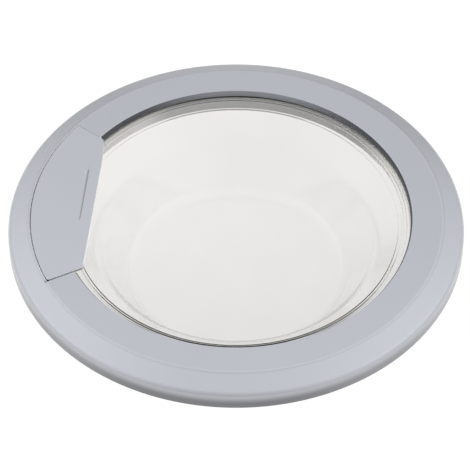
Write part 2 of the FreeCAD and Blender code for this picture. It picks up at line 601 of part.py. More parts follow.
# the grip's ends stay clear of the lip
grip_end_a = box("grip_end_far", S["chord_x"] - 1, S["chord_x"] + S["grip_thick"] + 1, S["grip_half"], S["cover_radius"],
                 down("grip_depth") - 2, down("skirt_depth"))
grip_end_b = box("grip_end_near", S["chord_x"] - 1, S["chord_x"] + S["grip_thick"] + 1, -S["cover_radius"], -S["grip_half"],
                 down("grip_depth") - 2, down("skirt_depth"))
small_holes = []
small_screws = []
lever_holes = []
for tag, sign in (("far", 1.0), ("near", -1.0)):
    small_holes.append(post("cover_hole_" + tag, S["small_x"], S["small_y"] * sign, down("cover_thick") - 1, down("small_tip"), S["small_hole"]))
    lever_holes.append(post("lever_hole_" + tag, S["small_x"], S["small_y"] * sign, down("lever_under") - 1, down("cover_thick") + 1, S["small_hole"]))
    sh = post("small_head_" + tag, S["small_x"], S["small_y"] * sign, down("small_head_under"), down("lever_under"), S["small_head"])
    ss = post("small_shank_" + tag, S["small_x"], S["small_y"] * sign, down("lever_under") - 0.1, down("small_tip"), S["small_shank"])
    sd = post("small_drive_" + tag, S["small_x"], S["small_y"] * sign, down("small_head_under") - 0.5, down("small_head_under") + 0.7, S["small_shank"] * 0.8)
    small_screws.append(minus("small_screw_" + tag, join("small_blank_" + tag, [sh, ss]), [sd]))
handle_cover = minus("handle_cover_solid", cover, [cover_hollow, cover_trim, groove, grip_end_a, grip_end_b] + small_holes)
node(handle_cover, "handle_cover", turn=True)
node(group("handle_screw_group", small_screws), "handle_screws", turn=True)

lever_parts = [box("lever_plate", S["lever_in"], S["lever_out"], -S["lever_half"], S["lever_half"], down("lever_under"), down("cover_thick"))]
for tag, sign in (("far", 1.0), ("near", -1.0)):
    y0 = S["knuckle_near"] if sign > 0 else -S["lever_half"]
    y1 = S["lever_half"] if sign > 0 else -S["knuckle_near"]
    lever_parts.append(bar("lever_knuckle_" + tag, S["pivot_x"], pivot_z, y0, y1, S["knuckle_radius"]))
lever_parts.append(box("lever_tail", S["pivot_x"] - S["tail_half_thick"], S["pivot_x"] + S["tail_half_thick"], -S["tail_half"], S["tail_half"],
                       pivot_z - S["tail_reach"], down("cover_thick") - 0.5))
lever_parts.append(bar("lever_tail_end", S["pivot_x"], pivot_z - S["tail_reach"], -S["tail_half"], S["tail_half"], S["tail_half_thick"]))
lever_cap = box("lever_cap", S["lever_in"] - 2, S["cover_radius"], -S["lever_half"] - 2, S["lever_half"] + 2, down("cover_thick"), top + 4)
pin_bore = bar("lever_bore", S["pivot_x"], pivot_z, -S["lever_half"] - 1, S["lever_half"] + 1, S["knuckle_bore"])
lever = minus("handle_lever_solid", join("lever_blank", lever_parts), [lever_cap, pin_bore] + lever_holes)
node(lever, "handle_lever", turn=True)

handle_pin = bar("handle_pin_solid", -S["pivot_x"], pivot_z, -S["handle_pin_half"], S["handle_pin_half"], S["handle_pin_radius"])
node(handle_pin, "handle_pin")


def coil(name, x, y, z0, z1, mean, wire, turns):
    """Compression spring, wound about Z between two levels, its wire inside them."""
    x, y, z0, z1, mean, wire, turns = [lift(v).n for v in (x, y, z0, z1, mean, wire, turns)]
    height = z1 - z0 - 2 * wire
    helix = Part.makeHelix(height / turns, height, mean)
    section = Part.Wire([Part.makeCircle(wire, FreeCAD.Vector(mean, 0, 0), FreeCAD.Vector(0, 1, 0))])
    solid = Part.Wire(helix.Edges).makePipeShell([section], True, True)
    f = doc.addObject("Part::Feature", name)
    f.Shape = solid
    f.Placement = FreeCAD.Placement(FreeCAD.Vector(x, y, z0 + wire), FreeCAD.Rotation())
    return f


spring_pair = [coil("handle_coil_far", -S["cup_x"], S["cup_y"], down("cup_floor"), down("cover_thick") - 0.05, S["spring_mean"], S["spring_wire"], S["spring_turns"]),
               coil("handle_coil_near", -S["cup_x"], -S["cup_y"], down("cup_floor"), down("cover_thick") - 0.05, S["spring_mean"], S["spring_wire"], S["spring_turns"])]
node(group("handle_spring_group", spring_pair), "handle_springs")

# ---------------------------------------------------------------------- hook
hx = S["pivot_x"]
hz = S["ring_top"] - S["hook_depth"]
hook_blank = padded("hook_body", "XZ_Plane", [
    (hx - S["arm_far"], down("arm_top")),
    (hx - S["arm_near"], down("arm_top")),
    (hx - S["arm_near"], hz + 1.0),
    (hx + S["hook_shank_half"], hz + 1.0),
    (hx + S["heel_reach"] - 3.0, down("heel_top")),
    (hx + S["heel_reach"], down("heel_top")),
    (hx + S["heel_reach"], down("heel_under")),
    (hx + S["hook_shank_half"], down("heel_under")),
    (hx + S["hook_shank_half"], down("hook_foot")),
    (hx - S["hook_shank_half"], down("hook_foot")),
    (hx - S["nose_reach"], down("nose_edge")),
    (hx - S["nose_reach"], down("nose_top")),
    (hx - S["hook_shank_half"], down("nose_top")),
    (hx - S["hook_shank_half"], hz - 2.0),
    (hx - S["arm_far"], hz + 2.0),
], S["hook_half"] * 2)
hook_boss = bar("hook_boss", hx, hz, -S["hook_half"], S["hook_half"], S["hook_boss"])
hook_bore = bar("hook_bore", hx, hz, -S["hook_half"] - 1, S["hook_half"] + 1, S["hook_bore"])
latch_hook = minus("latch_hook_solid", join("hook_blank", [hook_blank, hook_boss]), [hook_bore])
node(latch_hook, "latch_hook", turn=True)

hook_pin = bar("hook_pin_solid", -hx, hz, -S["hook_pin_half"], S["hook_pin_half"], S["hook_pin_radius"])
node(hook_pin, "hook_pin")
clips = []
for tag, sign in (("far", 1.0), ("near", -1.0)):
    y0 = S["hook_clip_in"] if sign > 0 else -S["hook_clip_out"]
    y1 = S["hook_clip_out"] if sign > 0 else -S["hook_clip_in"]
    clips.append(minus("hook_clip_" + tag, bar("hook_clip_disc_" + tag, -hx, hz, y0, y1, S["hook_clip_radius"]),
                       [bar("hook_clip_bore_" + tag, -hx, hz, y0 - 1, y1 + 1, S["clip_bore"])]))
node(group("hook_clip_group", clips), "hook_clips")
hook_spring = coil("hook_spring_solid", -S["hook_spring_x"], 0, down("heel_top") + 0.05, down("block_depth") - 0.05,
                   S["hook_spring_mean"], S["hook_spring_wire"], S["hook_spring_turns"])
node(hook_spring, "hook_spring")

bracket_parts = [box("latch_plate", -S["plate_far"], -S["plate_near"], -S["plate_half"], S["plate_half"], down("back_top"), down("back_top") + S["plate_thick"])]
cheek_bores = []
for tag, sign in (("far", 1.0), ("near", -1.0)):
    y0 = S["gate_half"] if sign > 0 else -S["gate_half"] - S["cheek_thick"]
    y1 = S["gate_half"] + S["cheek_thick"] if sign > 0 else -S["gate_half"]
    bracket_parts.append(box("latch_cheek_" + tag, -hx - S["cheek_radius"], -hx + S["cheek_radius"], y0, y1, down("back_top") + 0.2, hz))
    bracket_parts.append(bar("latch_cheek_round_" + tag, -hx, hz, y0, y1, S["cheek_radius"]))
    cheek_bores.append(bar("latch_bore_" + tag, -hx, hz, y0 - 0.5, y1 + 0.5, S["cheek_bore"]))
gate = box("latch_gate", -S["gate_far"], -S["gate_near"], -S["gate_half"], S["gate_half"], down("back_top") - 1, down("back_top") + S["plate_thick"] + 1)
under = box("latch_under", -S["plate_far"] - 1, -S["plate_near"] + 1, -S["plate_half"], S["plate_half"], down("back_under") - 1, down("back_top"))
latch_bracket = minus("latch_bracket_solid", join("latch_bracket_blank", bracket_parts), [gate, under] + cheek_bores + latch_taps)
node(latch_bracket, "latch_bracket")

# --------------------------------------------------------------------- hinge
cx = S["hinge_x"]
cz = S["ring_top"] - S["hinge_depth"]
plate = box("hinge_plate", S["bracket_near"], S["bracket_radius"] + 2, -S["bracket_half"], S["bracket_half"], down("back_top"), down("bracket_top"))
plate_limit = post("hinge_plate_limit", 0, 0, down("back_top") - 1, down("bracket_top") + 1, S["bracket_radius"])
plate_cut = doc.addObject("Part::Common", "hinge_plate_trim")
plate_cut.Base = plate
plate_cut.Tool = plate_limit
lugs = []
lug_bores = []
bushes = []
hinge_clips = []
for tag, sign in (("far", 1.0), ("near", -1.0)):
    y0 = S["lug_in"] if sign > 0 else -S["lug_out"]
    y1 = S["lug_out"] if sign > 0 else -S["lug_in"]
    lugs.append(box("lug_" + tag, cx - S["lug_radius"], cx + S["lug_radius"], y0, y1, cz, down("bracket_top") - 0.5))
    lugs.append(bar("lug_round_" + tag, cx, cz, y0, y1, S["lug_radius"]))
    lug_bores.append(bar("lug_bore_" + tag, cx, cz, y0 - 0.5, y1 + 0.5, S["lug_bore"]))
    sleeve = bar("bush_sleeve_" + tag, cx, cz, y0, y1, S["bush_out"])
    f0 = y1 if sign > 0 else y0 - S["bush_flange_thick"]
    f1 = y1 + S["bush_flange_thick"] if sign > 0 else y0
    flange = bar("bush_flange_" + tag, cx, cz, f0, f1, S["bush_flange"])
    bushes.append(minus("bush_" + tag, join("bush_blank_" + tag, [sleeve, flange]),
                        [bar("bush_bore_" + tag, cx, cz, y0 - 2, y1 + 2, S["bush_in"])]))
    c0 = S["hinge_clip_in"] if sign > 0 else -S["hinge_clip_out"]
    c1 = S["hinge_clip_out"] if sign > 0 else -S["hinge_clip_in"]
    hinge_clips.append(minus("hinge_clip_" + tag, bar("hinge_clip_disc_" + tag, cx, cz, c0, c1, S["hinge_clip_radius"]),
                             [bar("hinge_clip_bore_" + tag, cx, cz, c0 - 1, c1 + 1, S["hinge_clip_bore"])]))
notch = box("hinge_notch", S["notch_near"], S["notch_far"], -S["notch_half"], S["notch_half"], down("back_top") - 1, down("bracket_top") + 1)
hinge_bracket = minus("hinge_bracket_solid", join("hinge_bracket_blank", [plate_cut] + lugs), [notch] + lug_bores + hinge_taps)
node(hinge_bracket, "hinge_bracket")
node(group("hinge_bush_group", bushes), "hinge_bushes")
hinge_pin = bar("hinge_pin_solid", cx, cz, -S["hinge_pin_half"], S["hinge_pin_half"], S["hinge_pin_radius"])
node(hinge_pin, "hinge_pin")
node(group("hinge_clip_group", hinge_clips), "hinge_clips")

leaf = doc.addObject("PartDesign::Body", "leaf_body")
sk = sketch(leaf, "leaf_outline", "YZ_Plane", [
    (-S["arm_knuckle_half"], cz), (S["arm_knuckle_half"], cz),
    (S["arm_knuckle_half"], cz - S["leaf_neck"]), (S["leaf_half"], cz - S["leaf_neck"]),
    (S["leaf_half"], cz - S["leaf_length"]), (-S["leaf_half"], cz - S["leaf_length"]),
    (-S["leaf_half"], cz - S["leaf_neck"]), (-S["arm_knuckle_half"], cz - S["leaf_neck"])])
pad = leaf.newObject("PartDesign::Pad", "leaf_pad")
pad.Profile = sk
pad.Midplane = True
bind(pad, "Length", S["leaf_half_thick"] * 2)
sk.Visibility = False
doc.recompute()
foot = cz.n - S["leaf_length"].n
neck = cz.n - S["leaf_neck"].n
names = []
for i, e in enumerate(pad.Shape.Edges, start=1):
    v = e.Vertexes
    if len(v) == 2 and abs(v[0].Y - v[1].Y) < 1e-6 and abs(v[0].Z - v[1].Z) < 1e-6 and abs(abs(v[0].Y) - S["leaf_half"].n) < 1e-3:
        names.append("Edge%d" % i)
lf = leaf.newObject("PartDesign::Fillet", "leaf_corners")
lf.Base = (pad, names)
bind(lf, "Radius", S["leaf_round"])
doc.recompute()
bind(leaf, "Placement.Base.x", cx)
arm_knuckle = bar("arm_knuckle_bar", cx, cz, -S["arm_knuckle_half"], S["arm_knuckle_half"], S["arm_knuckle"])
arm_cuts = [bar("arm_bore", cx, cz, -S["arm_knuckle_half"] - 1, S["arm_knuckle_half"] + 1, S["arm_bore"])]
for tag, sign in (("far", 1.0), ("near", -1.0)):
    c = doc.addObject("Part::Cylinder", "leaf_hole_" + tag)
    bind(c, "Radius", S["leaf_hole_radius"])
    bind(c, "Height", S["leaf_half_thick"] * 2 + 4)
    c.Placement = FreeCAD.Placement(FreeCAD.Vector(0, 0, 0), FreeCAD.Rotation(FreeCAD.Vector(0, 1, 0), 90))
    bind(c, "Placement.Base.x", cx - S["leaf_half_thick"] - 2)
    bind(c, "Placement.Base.y", S["leaf_hole_y"] * sign)
    bind(c, "Placement.Base.z", cz - S["leaf_hole_drop"])
    arm_cuts.append(c)
hinge_arm = minus("hinge_arm_solid", join("hinge_arm_blank", [leaf, arm_knuckle]), arm_cuts)
node(hinge_arm, "hinge_arm")

# --------------------------------------------------------------------- write
doc.recompute()
bad = []
for obj in doc.Objects:
    if "Invalid" in obj.State or "Error" in obj.State:
        bad.append(obj.Name)
for obj, name in NODES:
    if obj.Shape.isNull() or not obj.Shape.isValid() or not obj.Shape.Solids:
        bad.append(name)
if bad:
    raise RuntimeError("not sound: " + ", ".join(bad))
os.makedirs("parts", exist_ok=True)
for obj, name in NODES:
    obj.Shape.exportStep("parts/%s.step" % name)
    b = obj.Shape.BoundBox
    print("%-16s solids %d volume %10.1f  x %8.2f %8.2f  y %8.2f %8.2f  z %7.2f %7.2f" % (
        name, len(obj.Shape.Solids), obj.Shape.Volume, b.XMin, b.XMax, b.YMin, b.YMax, b.ZMin, b.ZMax))
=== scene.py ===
import bpy, bmesh, json, math
from mathutils import Vector, Matrix


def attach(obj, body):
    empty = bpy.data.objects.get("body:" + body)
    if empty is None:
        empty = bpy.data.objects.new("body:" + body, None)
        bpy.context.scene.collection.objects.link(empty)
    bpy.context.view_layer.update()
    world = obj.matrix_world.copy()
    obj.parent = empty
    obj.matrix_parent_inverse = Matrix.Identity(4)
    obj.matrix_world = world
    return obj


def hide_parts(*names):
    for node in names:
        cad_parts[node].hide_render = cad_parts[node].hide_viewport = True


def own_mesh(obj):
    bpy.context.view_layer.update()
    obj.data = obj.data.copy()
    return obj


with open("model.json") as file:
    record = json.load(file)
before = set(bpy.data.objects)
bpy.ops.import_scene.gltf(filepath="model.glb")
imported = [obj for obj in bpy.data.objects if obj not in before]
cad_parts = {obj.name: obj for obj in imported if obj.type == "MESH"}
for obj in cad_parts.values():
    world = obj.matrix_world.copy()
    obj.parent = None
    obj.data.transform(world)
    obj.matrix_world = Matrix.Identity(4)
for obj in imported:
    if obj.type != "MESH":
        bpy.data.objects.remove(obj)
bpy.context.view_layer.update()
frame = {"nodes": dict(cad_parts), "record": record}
scene = bpy.context.scene
nodes = frame["nodes"]

MM = 0.001
TOP = 83.0          # height of the flat ring above the floor, mm
PI = math.pi


# ------------------------------------------------------------------ mesh tools
def fillet(points, closed=True, step=7.5):
    """(r, z, radius) corners to a polyline with round corners."""
    out = []
    n = len(points)
    for i, p in enumerate(points):
        r = p[2] if len(p) > 2 else 0.0
        here = Vector((p[0], p[1]))
        if r <= 0 or (not closed and i in (0, n - 1)):
            out.append((here.x, here.y))
            continue
        a = Vector(points[i - 1][:2])
        b = Vector(points[(i + 1) % n][:2])
        u, v = (a - here).normalized(), (b - here).normalized()
        half = math.acos(max(-1.0, min(1.0, u.dot(v)))) / 2
        reach = r / math.tan(half)
        centre = here + (u + v).normalized() * (r / math.sin(half))
        s, e = here + u * reach, here + v * reach
        a0 = math.atan2(s.y - centre.y, s.x - centre.x)
        a1 = math.atan2(e.y - centre.y, e.x - centre.x)
        d = (a1 - a0 + PI) % (2 * PI) - PI
        k = max(2, int(math.ceil(abs(math.degrees(d)) / step)))
        for j in range(k + 1):
            t = a0 + d * j / k
            out.append((centre.x + r * math.cos(t), centre.y + r * math.sin(t)))
    return out


def finish_mesh(name, bm, sharp=32.0, weld=2e-6):
    bmesh.ops.remove_doubles(bm, verts=bm.verts, dist=weld)
    bmesh.ops.dissolve_degenerate(bm, edges=bm.edges, dist=1e-7)
    bmesh.ops.recalc_face_normals(bm, faces=bm.faces)
    for f in bm.faces:
        f.smooth = True
    mesh = bpy.data.meshes.new(name)
    bm.to_mesh(mesh)
    bm.free()
    mesh.set_sharp_from_angle(angle=math.radians(sharp))
    ob = bpy.data.objects.new(name, mesh)
    scene.collection.objects.link(ob)
    m = ob.modifiers.new("even_normals", "WEIGHTED_NORMAL")
    m.mode = "FACE_AREA"
    m.weight = 50
    m.keep_sharp = True
    return ob


def lathe(bm, profile, angles, closed_turn, leave=()):
    """Closed outline turned about Z through a list of angles, without the sides in leave."""
    rows = []
    for a in angles:
        c, s = math.cos(a), math.sin(a)
        rows.append([bm.verts.new((r * c * MM, r * s * MM, z * MM)) for r, z in profile])
    n = len(profile)
    count = len(rows) if closed_turn else len(rows) - 1
    for i in range(count):
        p, q = rows[i], rows[(i + 1) % len(rows)]
        for j in range(n):
            if j in leave:
                continue
            k = (j + 1) % n
            loop = [p[j], p[k], q[k], q[j]]
            flat = []
            for v in loop:
                if all((v.co - w.co).length > 1e-9 for w in flat):
                    flat.append(v)
            if len(flat) > 2:
                bm.faces.new(flat)
    return rows


def cap(bm, outline, angle):
    """Flat face in a plane through the Z axis."""
    c, s = math.cos(angle), math.sin(angle)
    bm.faces.new([bm.verts.new((r * c * MM, r * s * MM, z * MM)) for r, z in outline])


def spread(a, b, step):
    k = max(1, int(round((b - a) / step)))
    return [math.radians(a + (b - a) * i / k) for i in range(k + 1)]


def tube(bm, x, y, z0, z1, r_out, r_in, count=28):
    """Upright ring with a bore, mm."""
    loops = []
    for r, z in ((r_out, z0), (r_out, z1), (r_in, z1), (r_in, z0)):
        loops.append([bm.verts.new(((x + r * math.cos(2 * PI * i / count)) * MM, (y + r * math.sin(2 * PI * i / count)) * MM, z * MM))
                      for i in range(count)])
    for k in range(4):
        p, q = loops[k], loops[(k + 1) % 4]
        for i in range(count):
            j = (i + 1) % count
            bm.faces.new((p[i], p[j], q[j], q[i]))


def pierced(bm, r0, r1, level, angles, x, y, radius, end, count=28):
    """Level sector between two radii with a round hole, and a wall from the hole down to a closed end, mm."""
    outline = [(r0 * math.cos(a), r0 * math.sin(a)) for a in angles] + [(r1 * math.cos(a), r1 * math.sin(a)) for a in reversed(angles)]
    circle = [(x + radius * math.cos(2 * PI * i / count), y + radius * math.sin(2 * PI * i / count)) for i in range(count)]
    loops = [[bm.verts.new((px * MM, py * MM, level * MM)) for px, py in pts] for pts in (outline, circle)]
    sides = [bm.edges.new((loop[i], loop[(i + 1) % len(loop)])) for loop in loops for i in range(len(loop))]
    bmesh.ops.triangle_fill(bm, use_beauty=True, use_dissolve=False, edges=sides, normal=(0, 0, 1))
    hole = loops[1]
    foot = [bm.verts.new((v.co.x, v.co.y, end * MM)) for v in hole]
    for i in range(count):
        j = (i + 1) % count
        bm.faces.new((hole[i], hole[j], foot[j], foot[i]))
    bm.faces.new(foot)


def ear(bm, x, y0, y1, foot, axis, radius, bore, count=24):
    """Upright tab with a round top and a cross bore along Y, mm."""
    drop = axis - foot
    corner = math.atan2(drop, radius)
    angles = sorted([2 * math.pi * i / count for i in range(count)] + [2 * math.pi - corner, math.pi + corner])
    rings = []
    for y in (y0, y1):
        for hole in (False, True):
            ring = []
            for a in angles:
                c, s = math.cos(a), math.sin(a)
                d = bore if hole else radius
                if not hole and s < -1e-9:
                    d = min(radius / max(abs(c), 1e-6), drop / -s)
                ring.append(bm.verts.new(((x + d * c) * MM, y * MM, (axis + d * s) * MM)))
            rings.append(ring)
    o0, i0, o1, i1 = rings
    for k in range(len(angles)):
        j = (k + 1) % len(angles)
        bm.faces.new((o0[k], o0[j], i0[j], i0[k]))
        bm.faces.new((o1[j], o1[k], i1[k], i1[j]))
        bm.faces.new((o0[j], o0[k], o1[k], o1[j]))
        bm.faces.new((i0[k], i0[j], i1[j], i1[k]))


def block(bm, x0, x1, y0, y1, z0, z1):
    v = [bm.verts.new((x * MM, y * MM, z * MM)) for z in (z0, z1) for x, y in ((x0, y0), (x1, y0), (x1, y1), (x0, y1))]
    for f in ((3, 2, 1, 0), (4, 5, 6, 7), (0, 1, 5, 4), (1, 2, 6, 5), (2, 3, 7, 6), (3, 0, 4, 7)):
        bm.faces.new([v[i] for i in f])


# ------------------------------------------------------------------ front frame
def z(depth):
    return TOP - depth


ceil_cut = z(3.2 + (206.8 - 203.6) * (11.76 - 3.2) / (222.0 - 203.6))
outer = fillet([
    (172.0, z(6.0)), (172.0, z(5.0)), (172.0, z(3.2), 0.4), (174.0, z(0.0), 0.6), (202.7, z(0.0)), (203.2, z(0.2)), (203.7, z(0.1)),
    (225.0, z(9.8), 7.0), (225.0, z(27.6), 1.2), (222.0, z(27.6)), (222.0, z(11.76), 7.5),
    (206.8, ceil_cut), (203.6, z(3.2)), (186.2, z(3.2)), (186.2, z(11.0)), (186.2, z(11.6)), (184.2, z(11.6)), (184.2, z(6.0))], step=6.0)


def near_point(points, r, zz):
    return min(range(len(points)), key=lambda i: abs(points[i][0] - r) + abs(points[i][1] - zz))


i_cut = near_point(outer, 206.8, ceil_cut)
i_rib = near_point(outer, 186.2, z(11.0))
i_well = near_point(outer, 172.0, z(5.0))
i_crease = near_point(outer, 203.2, z(0.2))
under = [(206.8, z(11.0))] + outer[i_rib:]
with_block = outer[:i_cut + 1] + under
with_well = [outer[0], outer[i_well], (188.0, z(5.0)), (201.2, z(5.0)), (203.2, z(5.0))] + outer[i_crease:i_cut + 1] + under
with_pit = ([outer[0], outer[i_well], (188.0, z(5.0)), (188.0, z(9.0)), (201.2, z(9.0)), (201.2, z(5.0)), (203.2, z(5.0))]
            + outer[i_crease:i_cut + 1] + under)
block_cap = outer[i_cut:i_rib + 1] + [(206.8, z(11.0))]
well_cap = outer[i_well:i_crease + 1] + [(203.2, z(5.0)), (201.2, z(5.0)), (188.0, z(5.0))]
pit_cap = [(188.0, z(5.0)), (201.2, z(5.0)), (201.2, z(9.0)), (188.0, z(9.0))]
slot_near = [outer[0], outer[i_well], (188.0, z(5.0)), (188.0, z(9.0)), (188.2, z(9.0)), (188.2, z(11.0))] + outer[i_rib:]
slot_far = ([(197.0, z(9.0)), (201.2, z(9.0)), (201.2, z(5.0)), (203.2, z(5.0))] + outer[i_crease:i_cut + 1]
            + [(206.8, z(11.0)), (197.0, z(11.0))])
slot_cap = [(188.2, z(9.0)), (197.0, z(9.0)), (197.0, z(11.0)), (188.2, z(11.0))]
SLOT = 1.64

bm = bmesh.new()
lathe(bm, outer, spread(-180 + 35.5, 180 - 35.5, 1.0), False)
for sign in (1, -1):
    def around(a, b, step=1.0):
        lo, hi = sorted((180 + sign * a, 180 + sign * b))
        return spread(lo, hi, step)
    lathe(bm, with_block, around(32.05, 35.5), False)
    lathe(bm, with_well, around(12.5, 32.05), False)
    cap(bm, block_cap, math.radians(180 + sign * 35.5))
    cap(bm, well_cap, math.radians(180 + sign * 32.05))
    cap(bm, pit_cap, math.radians(180 + sign * 12.5))
    cap(bm, slot_cap, math.radians(180 + sign * SLOT))
    level_sides = (3, len(with_pit) - len(under))
    lathe(bm, with_pit, around(SLOT, 2.2), False, leave=level_sides)
    a0, a1 = math.radians(180 + sign * SLOT), math.radians(180 + sign * 2.2)
    for level, radii in ((z(9.0), (188.0, 188.2, 197.0, 201.2)), (z(11.0), (186.2, 188.2, 197.0, 206.8))):
        corners = [(r, a0) for r in radii] + [(radii[3], a1), (radii[0], a1)]
        bm.faces.new([bm.verts.new((r * math.cos(a) * MM, r * math.sin(a) * MM, level * MM)) for r, a in corners])
    lathe(bm, with_pit, around(4.75, 12.5), False)
    # the cup of a return spring, between those two
    cup = around(2.2, 4.75, 0.64)
    lathe(bm, with_pit, cup, False, leave=level_sides)
    pierced(bm, 188.0, 201.2, z(9.0), cup, -197.8, -sign * 12.0, 2.1, z(15.0))
    pierced(bm, 186.2, 206.8, z(11.0), cup, -197.8, -sign * 12.0, 3.4, z(16.4))
# the slot in the pit's floor that the lever's tail reaches down through
lathe(bm, slot_near, spread(180 - SLOT, 180 + SLOT, 0.82), False)
lathe(bm, slot_far, spread(180 - SLOT, 180 + SLOT, 0.82), False)
for i in range(8):
    a = math.radians(22.5 + 45 * i)
    tube(bm, 210 * math.cos(a), 210 * math.sin(a), z(24.0), z(7.0), 4.5, 1.97)
for sign in (1, -1):
    y0, y1 = sorted((sign * 33.0, sign * 37.0))
    ear(bm, -193.0, y0, y1, z(9.2), z(4.8), 2.2, 1.53)
front = finish_mesh("front_frame_ring", bm)
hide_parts("front_frame")
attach(front, "door")

# ------------------------------------------------------------------- glass bowl
STEP, KNEE, BEND = (172.6, 8.8), (163.0, 11.3), (138.5, 31.0)     # corners of the glass under the flange: radius, depth


def ridge(a, b, radius, height=0.6):
    """Outline of a low rounded ridge standing on the line from a to b at a radius."""
    length = math.hypot(b[0] - a[0], b[1] - a[1])
    ur, ud = (b[0] - a[0]) / length, (b[1] - a[1]) / length
    at = (radius - a[0]) / ur
    return [(a[0] + ur * (at + d) - ud * out, z(a[1] + ud * (at + d) + ur * out), 0.3 if out else 0.0)
            for d, out in ((-0.95, 0.0), (-0.35, height), (0.35, height), (0.95, 0.0))]


inner = fillet([(181.6, z(7.4), 0.8), (174.0, z(7.4), 0.5), (STEP[0], z(STEP[1]), 0.5)]
               + ridge(STEP, KNEE, 169.2) + ridge(STEP, KNEE, 166.2) + [(KNEE[0], z(KNEE[1]), 3.5)] + ridge(KNEE, BEND, 160.2, 0.7) +
               [(BEND[0], z(BEND[1]), 40.0), (107.74, z(80.0), 12.0), (0.0, z(80.0)),
                (0.0, z(83.0)), (108.66, z(83.0), 14.5), (140.62, z(32.86), 37.2), (164.35, z(13.97), 0.8), (171.2, z(12.2), 1.0), (181.6, z(12.2), 0.8)], step=4.0)
bm = bmesh.new()
lathe(bm, inner, [2 * PI * i / 400 for i in range(400)], True)
glass = finish_mesh("glass_bowl_shell", bm, sharp=60.0)
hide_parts("glass_bowl")
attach(glass, "door")


# ----------------------------------------------------------------- handle cover
FAR, NEAR = math.radians(31.9), math.radians(31.5)
CHORD = 140.9
GRIP = 70.0


def cover_outline(radius, chord, corner):
    """Outline of the cover seen from above, its corners rounded."""
    tip = chord + 2.4
    pts = [(-tip, tip * math.tan(FAR), corner), (-chord, chord * math.tan(FAR) - 21.0, 30.0)]
    pts += [(-chord, GRIP - 12.0, 0), (-chord, -GRIP, 0)]
    pts += [(-chord, -chord * math.tan(NEAR), corner), (-radius * math.cos(NEAR), -radius * math.sin(NEAR), corner * 0.5)]
    k = 64
    for i in range(1, k):
        a = PI + NEAR - (NEAR + FAR) * i / k
        pts.append((radius * math.cos(a), radius * math.sin(a), 0))
    pts.append((-radius * math.cos(FAR), radius * math.sin(FAR), corner * 0.5))
    return fillet(pts, step=9.0)


def offset_in(poly, d):
    """Outline moved inwards by d, point for point."""
    n = len(poly)
    out = []
    area = sum(poly[i][0] * poly[(i + 1) % n][1] - poly[(i + 1) % n][0] * poly[i][1] for i in range(n))
    side = 1.0 if area > 0 else -1.0
    for i in range(n):
        a, p, b = Vector(poly[i - 1]), Vector(poly[i]), Vector(poly[(i + 1) % n])
        u, v = (p - a).normalized(), (b - p).normalized()
        nu, nv = Vector((-u.y, u.x)) * side, Vector((-v.y, v.x)) * side
        m = (nu + nv).normalized()
        out.append((p.x + m.x * d / max(0.35, m.dot(nu)), p.y + m.y * d / max(0.35, m.dot(nu))))
    return out


edge = cover_outline(202.05, CHORD, 2.2)
n = len(edge)
deep = [abs(p[0] + CHORD) < 0.05 and -GRIP - 0.01 <= p[1] <= GRIP - 11.9 for p in edge]
ROUND = 0.5
columns = []
for k in range(9):
    t = PI / 2 * k / 8
    columns.append((ROUND * (1 - math.sin(t)), ROUND * (1 - math.cos(t))))   # inset, drop
bm = bmesh.new()
rings = []
for inset, drop in columns:
    ring = offset_in(edge, inset) if inset > 1e-6 else edge
    rings.append([bm.verts.new((x * MM, y * MM, z(drop) * MM)) for x, y in ring])
# the last of those is the full outline; under it come the skirt, and the grip along the straight edge
skirt_in = offset_in(edge, 1.8)
foot, inside_foot, inside_top = [], [], []
for i, (x, y) in enumerate(edge):
    d = 8.6 if deep[i] else 2.6
    sx, sy = skirt_in[i]
    if deep[i]:
        sx, sy = -CHORD - 3.0, y
    foot.append(bm.verts.new((x * MM, y * MM, z(d) * MM)))
    inside_foot.append(bm.verts.new((sx * MM, sy * MM, z(d) * MM)))
    inside_top.append(bm.verts.new((sx * MM, sy * MM, z(2.2) * MM)))
rings += [foot, inside_foot, inside_top]
for p, q in zip(rings[:-1], rings[1:]):
    for i in range(n):
        j = (i + 1) % n
        bm.faces.new((p[i], p[j], q[j], q[i]))
bm.faces.new(inside_top)
# flat top with the short groove
GX, GY0, GY1 = -152.7, -26.0, 50.0
rim_pts, low_pts = [], []
K = 24
for i in range(K + 1):          # right side, from the near end to the far end
    y = GY0 + (GY1 - GY0) * i / K
    ease = min(1.0, i / 1.5, (K - i) / 1.5)
    rim_pts.append((GX + 0.9 * ease ** 0.5, y))
    low_pts.append((GX + 0.45 * ease ** 0.5, y + (0.25 if i == 0 else -0.25 if i == K else 0), 0.12 + 0.58 * ease))
for i in range(1, K):           # left side, back again
    t = 1.0 - i / K
    y = GY0 + (GY1 - GY0) * t
    wide = 0.9 + 3.6 * t
    ease = min(1.0, i / 1.5, (K - i) / 1.5)
    rim_pts.append((GX - wide * ease ** 0.5, y))
    low_pts.append((GX - 0.2 * wide * ease ** 0.5, y, 0.12 + 0.40 * ease))
groove = [[bm.verts.new((x * MM, y * MM, TOP * MM)) for x, y in rim_pts],
          [bm.verts.new((x * MM, y * MM, z(d) * MM)) for x, y, d in low_pts]]
for i in range(len(rim_pts)):
    j = (i + 1) % len(rim_pts)
    bm.faces.new((groove[0][i], groove[0][j], groove[1][j], groove[1][i]))
for i in range(1, K):
    a, b = i, 2 * K - i
    a2, b2 = i + 1, 2 * K - i - 1
    if i < K - 1:
        bm.faces.new((groove[1][a], groove[1][a2], groove[1][b2], groove[1][b]))
bm.faces.new((groove[1][0], groove[1][1], groove[1][2 * K - 1]))
bm.faces.new((groove[1][K - 1], groove[1][K], groove[1][K + 1]))


def edges_of(loop):
    found = []
    for i, v in enumerate(loop):
        e = bm.edges.get((v, loop[(i + 1) % len(loop)]))
        found.append(e)
    return found


